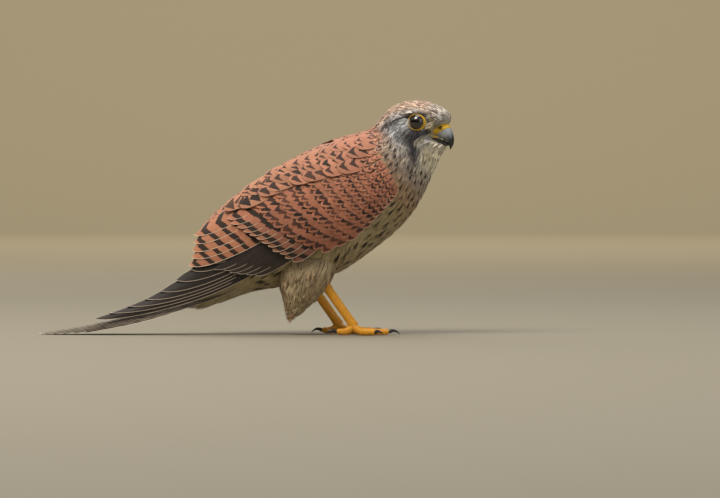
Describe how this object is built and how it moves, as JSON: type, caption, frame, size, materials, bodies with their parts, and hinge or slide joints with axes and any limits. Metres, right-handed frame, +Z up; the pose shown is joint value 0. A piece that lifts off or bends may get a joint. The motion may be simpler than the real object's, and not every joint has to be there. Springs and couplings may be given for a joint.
{
  "type": "common kestrel",
  "caption": "Still, life-size model of a common kestrel that stands with folded wings, its head turned and its tail laid on the floor behind it.",
  "frame": {"origin": "centre of the model's box, at floor level", "axes": "+X the way the body faces, +Y the bird's left, +Z up"},
  "size_m": [0.304, 0.0736, 0.1716],
  "materials": {
    "head_feathers": "soft grey-brown head feathers tinged rufous, with fine dark streaks",
    "body_feathers": "soft buff breast, belly and thigh feathers with dark brown streaks",
    "wing_feathers": "smooth rufous mantle and wing covert feathers with dark brown arrowhead marks",
    "tail_feathers": "smooth grey-brown tail feathers with dark bars and pale tips",
    "bare_skin": "scaled orange-yellow skin of the cere, eye rings and legs, low sheen",
    "bill_horn": "blue-grey horn, darker at the tip, semi-gloss",
    "claw_horn": "black horn, semi-gloss",
    "eye_gloss": "very dark brown, wet gloss"
  },
  "bodies": {
    "root": {"bill_lower": "bill_horn", "bill_upper": "bill_horn", "cere": "bare_skin", "claw_left_hind": "claw_horn", "claw_left_inner": "claw_horn", "claw_left_middle": "claw_horn", "claw_left_outer": "claw_horn", "claw_right_hind": "claw_horn", "claw_right_inner": "claw_horn", "claw_right_middle": "claw_horn", "claw_right_outer": "claw_horn", "eye_left": "eye_gloss", "eye_right": "eye_gloss", "foot_left": "bare_skin", "foot_right": "bare_skin", "head": "head_feathers", "neck": "head_feathers", "shank_left": "bare_skin", "shank_right": "bare_skin", "tail": "tail_feathers", "thigh_left": "body_feathers", "thigh_right": "body_feathers", "torso": "body_feathers", "wing_left": "wing_feathers", "wing_right": "wing_feathers"}
  },
  "joints": []
}
